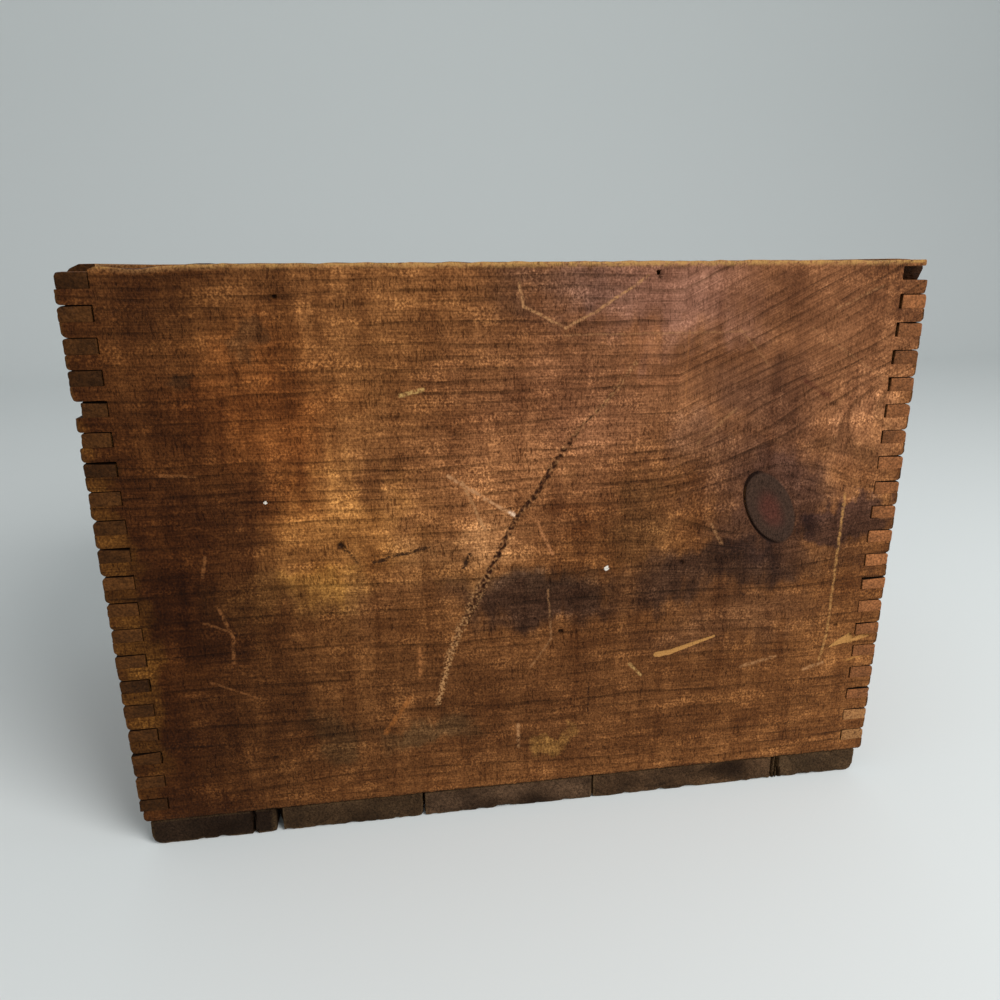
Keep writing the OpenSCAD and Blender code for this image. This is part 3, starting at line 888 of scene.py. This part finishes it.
# The holes and dents have a radius and a depth, and the specks of pale paint a radius.
dents = on_board((
    (245.7, 5.2, 1.2, 4.0), (83, 13.3, 1.3, 1.6), (286, 56, 1.8, 0.6), (102.6, 122, 2.4, 1.2),
    (158.5, 133, 2.2, 0.7), (204.8, 172.5, 1.7, 1.4), (264, 140.6, 1.5, 1.1), (350, 181, 1.4, 1.0),
    (328, 96, 2.2, 0.4), (145, 88, 1.2, 0.4), (155, 73, 1.3, 0.5), (110, 64, 1.2, 0.5), (182, 178, 1.1, 0.7),
    (242, 195, 1.5, 0.5), (200, 220, 1.6, 0.5), (230, 140, 1.0, 0.5),
))
specks = on_board(((226.4, 141, 1.2), (72, 100, 0.7)))


def knot_share(spot):
    """How far out a spot lies in the knot, 0 at its heart and 1 at its rim, and how near its open side."""
    offset = spot - knot_middle
    offset.rotate(Matrix.Rotation(-knot_lean, 3, "Z"))
    along, across = offset.x / knot_long, offset.y / knot_short
    return math.hypot(along, across), -across - 0.4 * along


face_level = wall_thick - 0.1 * mm
knot_band = 0.2


def near_mark(place):
    """Whether a place on the front board's face lies close to something that is cut into it."""
    if place.z < face_level:
        return False
    spot = Vector((place.x / mm, place.y / mm, 0))
    for path, reach in ((gouge, 3), (splinter, 4.5), (cut, 2.8)):
        if path_near(spot, path)[0] < reach:
            return True
    if abs(knot_share(spot)[0] - 1) < knot_band:
        return True
    return any((spot - mark[0]).length < mark[1] + 1.0 for mark in dents + specks)


# The top edge ripples, dips near the left end and falls off at its corners. The rest is cut into the face.
top_reach = 9
with reshape(front_mesh) as form:
    refine(form, near_mark, 3)
    marks = {mark: form.verts.layers.float.new(mark) for mark in ("scuff", "groove", "torn", "pit", "speck")}
    worn = form.verts.layers.float["worn"]
    form.normal_update()
    for point in form.verts:
        spot = Vector((point.co.x / mm, point.co.y / mm, 0))
        close_to_top = max(0, 1 - (wall_tall / mm - spot.y) / top_reach)
        ripple = 0.45 + 0.6 * noise.noise(Vector((spot.x / 7, point.co.z / mm / 9, 3)))
        slope = 1.8 * max(0, 1 - abs(spot.x - on_face(30, 0).x) / 22)
        corner = 2.0 * max(0, 1 - abs(spot.x - on_face(12, 0).x) / 5)
        corner += 0.35 * max(0, (spot.x - on_face(300, 0).x) / 75)
        point.co.y -= max(0, ripple + slope + corner) * close_to_top * mm
        point.co.y += 0.6 * max(0, 1 - spot.y / 3) * ripple * mm
        if spot.y < 4:
            point[worn] = 0
        if point.co.z < face_level or point.normal.z < 0.7:
            continue

        # The gouge is sunk and darker along its middle, and the wood beside it is scuffed pale.
        distance, half, deep, run = path_near(spot, gouge)
        uneven = 0.75 + 0.8 * noise.noise(spot / 1.7)
        inner = max(0, 1 - (distance / (half * (0.85 + 0.5 * uneven))) ** 2)
        sunk = deep * uneven * inner
        strong = min(1, 0.5 + 1.6 * run) * min(1, 3 * (1 - run))
        dots = min(1, max(0, 0.5 + 1.5 * noise.noise(spot / 1.5)))
        point[marks["groove"]] = inner * strong * (0.3 + 0.7 * dots)
        pit = inner * strong * max(0, dots - 0.35)
        flecks = min(1, max(0, 0.6 + 1.2 * noise.noise(spot / 1.2 + spot.yzx)))
        scuff = flecks * min(1, max(0.6, 3 * run - 1.0))
        point[marks["scuff"]] = max(0, 1 - distance / (half + 2.4)) * scuff

        # The crack round the knot is widest on its open side.
        rim, side = knot_share(spot)
        crack = math.exp(-((rim - 1) / 0.045) ** 2) * min(1, max(0.15, 0.4 + 1.3 * side))
        sunk += 0.9 * crack
        pit = max(pit, 1.8 * crack)

        # Then come the holes and dents, the torn wood and the specks.
        for middle, radius, dent in dents:
            distance = (spot - middle).length / (radius * (0.7 + 0.5 * uneven))
            if distance < 1:
                sunk += dent * (1 - distance ** 2)
                pit = max(pit, (1 - distance ** 2) * min(1, 0.2 + 0.5 * dent))
        for path in (splinter, cut):
            distance, half, deep, run = path_near(spot, path)
            torn = max(0, 1 - distance / half) * min(1, 8 * run)
            sunk += deep * min(1, 2 * torn)
            point[marks["torn"]] = max(point[marks["torn"]], min(1, 3 * torn))
        point[marks["pit"]] = pit
        spread = 0.6 + 0.5 * uneven
        point[marks["speck"]] = any((spot - middle).length < radius * spread for middle, radius in specks)
        point.co.z -= sunk * mm
fit(front_mesh, "box", "front_board", front_place)


# Back board. The same pine and the same comb as the front, without the knot, the gouge or the lost finger.
# Its stains and scratches are placed by a fixed seed, because the real ones aren't seen.
wall_tone = "#70441f"
wall_late = "#482a12"
back_low, back_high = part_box("back_board")
back_place = lay((0, back_low.y, back_low.z), (-1, 0, 0), (0, 0, 1))
back_look = pine(
    "aged yellow pine, back wall", back_place, seed=2.0, pith=(-90, -60), early=wall_tone, late=wall_late,
    bare=wall_bare, long=box_long)
age(back_look, wall_tone, box_long / mm, wall_tall / mm, 2)
dress(back_look, "#5a3a1c", worn_pine, satin, relief=0.3, spread=0.2)
back_cells = {**wall_cells, "Length": box_long, "First notch": 1.0}
back_mesh = saw("back_board", back_look, back_cells, 2, arris=0.3, rub=0.2, chip=0.5)
blunt(back_mesh, box_long, 0, 2, {})
fit(back_mesh, "box", "back_board", back_place)


# End boards. Two shorter boards whose fingers fill the notches of the front and back, so that their end grain
# shows at the corners. The left one is dark with grime and painted shade, and the right one has lost its top
# front finger.
broken_level = 39
broken_off = 9 * mm
break_slant = 3.4 * mm

# Each end: a seed, the tone of its finger tips, how far they differ, and its worn, clean and shrunk fingers.
end_boards = {
    # The left end's finger tips are darker partly as painted shade, since less light falls on the left.
    "left": (3, "#41260f", 0.4, {(1, 31): 3.2, (1, 29): 1.2, (1, 39): 1.0}, (), {}),
    "right": (4, "#7a4c2c", 0.22, {}, ((-1, 1), (-1, 3)), {
        (-1, 37): 0.8, (-1, 35): 0.6, (-1, 33): 0.35, (-1, 31): 0.4, (-1, 29): 0.2,
    }),
}
for side, (seed, tip_tone, spread, losses, fresh, shrunk) in end_boards.items():
    node = side + "_end_board"
    low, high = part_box(node)
    deep = high.y - low.y
    place = lay((high.x, 0, low.z), (0, -1, 0), (0, 0, 1))
    lost = {}
    if side == "right":
        place = lay((low.x, 0, low.z), (0, 1, 0), (0, 0, 1))
        lost["Lost low"] = (-deep, broken_level * finger_height, 0)
        lost["Lost high"] = (-deep / 2 + broken_off, (broken_level + 1) * finger_height, 0)
    name = "aged yellow pine, " + side + " wall"
    look = pine(name, place, seed, (330, -80), wall_tone, wall_late, wall_bare, deep)
    age(look, wall_tone, deep / mm, wall_tall / mm, seed)
    dress(look, tip_tone, worn_pine, satin, relief=0.3, spread=spread)
    cells = {**wall_cells, **lost, "Length": deep, "First notch": 0.0}
    mesh = saw(node, look, cells, seed, arris=0.3, rub=0.2, chip=0.6)
    blunt(mesh, deep, 1, seed, losses, fresh, shrunk)
    dirt_and_shade = mesh.attributes["dirt_and_shade"].data
    for point in mesh.vertices:
        along, across, through = point.co
        level = across / finger_height
        # The broken finger's stump is painted dark: a painted shadow from the finger above it.
        if side == "right" and deep / 2 + along < broken_off and level > broken_level - 0.1:
            along -= break_slant * (level - broken_level)
            dirt_and_shade[point.index].value = 0.85
        top_turn = 3 * mm
        if side == "left":
            top_turn += 6 * mm * max(0, 1 - (deep / 2 - along) / (60 * mm))
        skin, down = round_off(wall_thick - through, wall_tall - across, top_turn)
        point.co = along, wall_tall - down, wall_thick - skin
    fit(mesh, "box", node, place)


# Base boards. Five rough boards of unequal width run from front to back under the walls, and their sawn ends
# show at the front. They have stood on damp floors, so they are grey, dark and rubbed round at both outer
# corners. Where the first two have drawn apart, the second board's tongue still bridges the gap.
base_round = 6.5 * mm
top_round = 2.5 * mm
tongue_long = 2.8 * mm
crack_deep = 5 * mm
plain_cells = {"Edge strip": 1.5 * mm, "Finger height": 1.0, "Notch length": 0.0, "First notch": 5.0}

# Each board has a tone, and may have a crack in its ends, so many millimetres across it.
base_boards = (
    ("#2a1d13", [48.6]), ("#42301f", [70.0]), ("#503b2a", []), ("#4f3926", [100.0]), ("#533e29", [1.5]),
)
for number, (tone, cracks) in enumerate(base_boards, 1):
    node = f"base_board_{number}"
    low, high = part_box(node)
    long, wide, thick = high.y - low.y, high.x - low.x, high.z - low.z
    place = lay((low.x, 0, high.z), (0, 1, 0), (1, 0, 0))
    name = f"weathered grey pine, base {number}"
    look = pine(name, place, 4 + number, (31 * number - 90, -50), tone, "#241a10", "#6d5236", long)
    dress(look, tone, "#6a5236", rough=(0.65, 0.9), relief=0.5)
    cells = {"Length": long, "Width": wide, "Thickness": thick, "Column": 4 * mm, "Row": 2.0 * mm}
    mesh = saw(node, look, {**plain_cells, **cells}, 4 + number, arris=0.7, rub=0.4, chip=1.0)
    with reshape(mesh) as form:
        refine(form, lambda at: long / 2 - abs(at.x) < 0.5 * mm)
        dirt_and_shade = form.verts.layers.float.new("dirt_and_shade")
        for point in form.verts:
            along, across, through = point.co
            spot = point.co / mm
            near_end = max(0, 1 - (long / 2 - abs(along)) / (7 * mm))
            crumble = 0.5 + 0.5 * noise.noise(spot / 3 + Vector((0, 0, 40 * number)))
            bitten = noise.noise(Vector((spot.x, spot.y, 0)) / 5 + Vector((9 * number, 0, 0)))
            patch = noise.noise(Vector((spot.y / 22, spot.z / 9, 7 * number)))
            # Dirty patches near the ends, and along the top edge a painted shadow line under the walls.
            point[dirt_and_shade] = near_end * min(0.8, max(0, 0.3 + 0.9 * patch, 1.2 - spot.z))
            through -= 2.2 * mm * max(0, bitten - 0.05) * near_end * max(0, through / thick)
            along -= math.copysign(0.5 * mm * crumble * near_end, along)
            if number == 2:
                behind = min(1, max(0, (long / 2 - abs(along)) / mm - 5) / 3)
                tongue = behind * min(1, max(0, (thick - through) / mm - 3.5))
                across -= tongue_long * tongue * max(0, 1 - across / (2 * mm))
            for crack in cracks:
                wobble = crack * mm + 1.2 * mm * noise.noise(Vector((crack, through / mm / 5, 0)))
                open_crack = max(0, 1 - abs(across - wobble) / (0.8 * mm)) * near_end
                along -= math.copysign(crack_deep * open_crack, along)
            edge = across if number == 1 else wide - across
            if number in (1, 5):
                edge, skin = round_off(edge, thick - through, base_round)
                through = thick - skin
                edge, through = round_off(edge, through, top_round)
            point.co = along, edge if number == 1 else wide - edge, through
    fit(mesh, "box", node, place)


# Base nails. Wire nails driven up through the base boards into the walls, with flat heads that have rusted.
# The places and sizes of all nails are read from the frame's own solids.
def solids(node):
    """The lowest and highest corner of each separate solid in a node of the frame."""
    form = bmesh.new()
    form.from_mesh(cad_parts[node].data)
    bmesh.ops.remove_doubles(form, verts=form.verts, dist=0.001 * mm)
    left = set(form.verts)
    found = []
    while left:
        group, edge = set(), [left.pop()]
        while edge:
            point = edge.pop()
            group.add(point)
            for line in point.link_edges:
                other = line.other_vert(point)
                if other in left:
                    left.remove(other)
                    edge.append(other)
        corners = [[point.co[axis] for point in group] for axis in range(3)]
        found.append((Vector([min(c) for c in corners]), Vector([max(c) for c in corners])))
    form.free()
    return sorted(found, key=lambda box: tuple(box[0]))


nailed, given = new_tree("driven nails", "GeometryNodeTree", {
    "Points": "Geometry", "Head width": "Float", "Head height": "Float", "Shank width": "Float",
    "Shank length": "Float", "Seed": "Int", "Material": "Material",
}, {"Nails": "Geometry"})
half_head = add(nailed, "Math MULTIPLY", (given["Head width"], 0.5))
crown = add(nailed, "Math MULTIPLY", (given["Head width"], 0.36))
rim = add(nailed, "Math MULTIPLY", (given["Head height"], 0.6))
dome = add(nailed, "Math MULTIPLY", (given["Head height"], 0.4))
half_shank = add(nailed, "Math MULTIPLY", (given["Shank width"], 0.5))
whole_length = add(nailed, "Math MULTIPLY", (given["Shank length"], -1.0))
parts = add(nailed, "GeometryNodeJoinGeometry")
for wide, narrow, tall, start in (
    (half_head, half_head, rim, 0.0), (half_head, crown, dome, rim),
    (half_shank, half_shank, given["Shank length"], whole_length),
):
    cone = add(nailed, "GeometryNodeMeshCone", {
        "Vertices": 18, "Radius Bottom": wide, "Radius Top": narrow, "Depth": tall,
    })
    lift = add(nailed, "CombineXYZ", {"Z": start})
    cone = add(nailed, "GeometryNodeTransform", {"Geometry": cone, "Translation": lift})
    nailed.links.new(cone, parts.node.inputs[0])
turn = add(nailed, "GeometryNodeInputNamedAttribute", {"Name": "turn"}, data_type="FLOAT_VECTOR")
jitter = add(nailed, "FunctionNodeRandomValue", {
    "Min": (-0.05, -0.05, -3.0), "Max": (0.05, 0.05, 3.0), "Seed": given["Seed"],
}, data_type="FLOAT_VECTOR")
placed = {"Points": given["Points"], "Instance": parts, "Rotation": turn}
placed = add(nailed, "GeometryNodeInstanceOnPoints", placed)
placed = {"Instances": placed, "Rotation": jitter, "Local Space": True}
placed = add(nailed, "GeometryNodeRotateInstances", placed)
made = add(nailed, "GeometryNodeRealizeInstances", {"Geometry": placed})
made = add(nailed, "GeometryNodeSetMaterial", {"Geometry": made, "Material": given["Material"]})
add(nailed, "NodeGroupOutput", {"Nails": made}, out=None)

# Rusted iron wire: dark brown scale with patches of orange rust, dull and pitted.
rusty_iron = bpy.data.materials.new("rusted iron wire")
tree = bare_tree(rusty_iron)
rust_size = 1.6
pit_size = 0.5
spot = add(tree, "TexCoord", out="Object")
rust = add(tree, "TexNoise", {"Vector": spot, "Scale": 1 / (rust_size * mm), "Detail": 4.0})
pits = add(tree, "TexNoise", {"Vector": spot, "Scale": 1 / (pit_size * mm), "Detail": 2.0})
patches = add(tree, "MapRange", (rust, 0.42, 0.6), **eased)
scale_tone = linear("#2b2320")
rust_tone = linear("#6a3b1f")
colour = add(tree, "Mix", {0: patches, 6: scale_tone, 7: rust_tone}, **mixed)
dull = add(tree, "MapRange", (rust, 0.3, 0.6, 0.45, 0.85))
metal = add(tree, "MapRange", (patches, 0.0, 1.0, 0.8, 0.1))
bump = add(tree, "Bump", {"Strength": 0.8, "Distance": 0.15 * mm, "Height": pits})
shade = add(tree, "BsdfPrincipled", {
    "Base Color": colour, "Roughness": dull, "Metallic": metal, "Normal": bump,
})
add(tree, "OutputMaterial", {"Surface": shade}, out=None)


def drive(node, body, facing, head, sunk, shank, short):
    """Drives the nails of a node into a body. facing gives the way that a nail's head looks at some place.
    The rest is in millimetres: head is a head's height, sunk is how far its seat lies from the nail's end,
    shank is the shank's width, and short is how much shorter than the nail it is. All its nails are alike."""
    nails = solids(node)
    heads = bpy.data.meshes.new(node + "_iron")
    heads.from_pydata([(0, 0, 0)] * len(nails), [], [])
    turns = heads.attributes.new("turn", "FLOAT_VECTOR", "POINT").data
    for number, (low, high) in enumerate(nails):
        seat = [(least + most) / 2 for least, most in zip(low, high)]
        way = Vector(facing(seat))
        axis = [abs(part) for part in way].index(1)
        seat[axis] = high[axis] - sunk * mm if way[axis] > 0 else low[axis] + sunk * mm
        heads.vertices[number].co = seat
        turns[number].vector = way.to_track_quat("Z", "Y").to_euler()
    low, high = nails[0]
    beside = (axis + 1) % 3
    mesh = run_tree(nailed, heads, {
        "Head width": high[beside] - low[beside], "Head height": head * mm, "Shank width": shank * mm,
        "Shank length": high[axis] - low[axis] - short * mm, "Seed": len(nails), "Material": rusty_iron,
    })
    fit(mesh, body, node)


drive("base_nails", "box", lambda seat: (0, 0, -1), head=1.0, sunk=1.0, shank=2.0, short=1.2)


# Lid rests. Two plain strips of pine are bradded inside the ends, and the lid's front half lies on them.
# Like all the wood inside the box, they were never finished.
bare_tones = ("#8e683e", "#6a4625", "#8e683e")
bare_finish = ("#73502c", "#a8825a", (0.6, 0.8), 0.22)
for side, seed in (("left", 11), ("right", 12)):
    node = "lid_rest_" + side
    low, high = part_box(node)
    long, middle = high.y - low.y, (low.y + high.y) / 2
    place = lay((low.x, middle, low.z), (0, 1, 0), (0, 0, 1))
    if side == "right":
        place = lay((high.x, middle, low.z), (0, -1, 0), (0, 0, 1))
    look = pine("bare pine, rest " + side, place, seed, (-20, -30), *bare_tones, long)
    dress(look, *bare_finish)
    cells = {"Length": long, "Width": high.z - low.z, "Thickness": high.x - low.x}
    cells = {**plain_cells, **cells, "Column": 3 * mm, "Row": 2.5 * mm}
    mesh = saw(node, look, cells, seed, arris=0.6, rub=0.3, chip=0.4)
    fit(mesh, "box", node, place)


# Brads of the rests. Short wire brads hold each rest to its end board. They are driven from the inside, so
# their heads face the middle of the box.
drive(
    "lid_rest_brads", "box", lambda seat: (-math.copysign(1, seat[0]), 0, 0),
    head=0.6, sunk=0.6, shank=1.4, short=0.8)


# Lid boards. Two pine boards laid edge to edge close the box. The front one has a half-round notch for the
# thumb, and the back one is rounded along its back edge, where it turns on two nails.
thumb_radius = 13 * mm
thumb_notch = bpy.data.meshes.new("thumb notch")
with reshape(thumb_notch) as form:
    bmesh.ops.create_cone(
        form, cap_ends=True, segments=48, radius1=thumb_radius, radius2=thumb_radius, depth=3 * thumb_radius)
lid_tone = "#80522a"
for part, seed, cutter in (("front", 13, thumb_notch), ("back", 14, None)):
    node = "lid_" + part + "_board"
    low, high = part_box(node)
    place = lay((0, low.y, low.z), (1, 0, 0), (0, 1, 0))
    long, wide, thick = high.x - low.x, high.y - low.y, high.z - low.z
    look = pine("rubbed pine, lid " + part, place, seed, (-60, -40), lid_tone, "#5a371a", wall_bare, long)
    age(look, lid_tone, long / mm, wide / mm, seed)
    dress(look, "#5a3a1c", worn_pine, rough=(0.5, 0.72), relief=0.3)
    cells = {"Length": long, "Width": wide, "Thickness": thick, "Column": 3 * mm, "Row": 2.7 * mm}
    cells = {**plain_cells, **cells}
    mesh = saw(node, look, cells, seed, arris=0.6, rub=0.3, chip=0.5, cutter=cutter)
    if part == "back":
        with reshape(mesh) as form:
            refine(form, lambda at: at.y > wide - thick / 2)
            for point in form.verts:
                edge, under = round_off(wide - point.co.y, point.co.z, thick / 2)
                edge, over = round_off(edge, thick - point.co.z, thick / 2)
                point.co.y = wide - edge
                point.co.z = under if point.co.z < thick / 2 else thick - over
    fit(mesh, "lid", node, place)


# Lid battens. Two strips across the underside hold the lid boards together, with bevelled ends.
# They are bare pine, like the rests.
batten_bevel = 5 * mm
for side, seed in (("left", 15), ("right", 16)):
    node = "lid_batten_" + side
    low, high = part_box(node)
    long, wide, thick = high.y - low.y, high.x - low.x, high.z - low.z
    place = lay((low.x, (low.y + high.y) / 2, high.z), (0, 1, 0), (1, 0, 0))
    look = pine("bare pine, batten " + side, place, seed, (-30, -30), *bare_tones, long)
    dress(look, *bare_finish)
    cells = {"Length": long, "Width": wide, "Thickness": thick, "Column": 2.5 * mm, "Row": 2.7 * mm}
    mesh = saw(node, look, {**plain_cells, **cells}, seed, arris=0.6, rub=0.3, chip=0.4)
    for point in mesh.vertices:
        inset = long / 2 - abs(point.co.x)
        short = batten_bevel - inset - (thick - point.co.z)
        if short > 0:
            point.co.x -= math.copysign(short / 2, point.co.x)
            point.co.z -= short / 2
    fit(mesh, "lid", node, place)


# Lid nails. Wire nails driven down through the lid boards into the battens, with their heads flush with the
# top of the lid.
drive("lid_nails", "lid", lambda seat: (0, 0, 1), head=0.9, sunk=0.9, shank=1.8, short=1.1)


# Pivot nails. One stout nail through each end board is the lid's hinge: the lid's back board turns on it.
# Their heads stand on the outside of the ends.
for side in ("left", "right"):
    drive(
        "pivot_nail_" + side, "box", lambda seat: (math.copysign(1, seat[0]), 0, 0),
        head=1.05, sunk=1.26, shank=2.8, short=1.4)
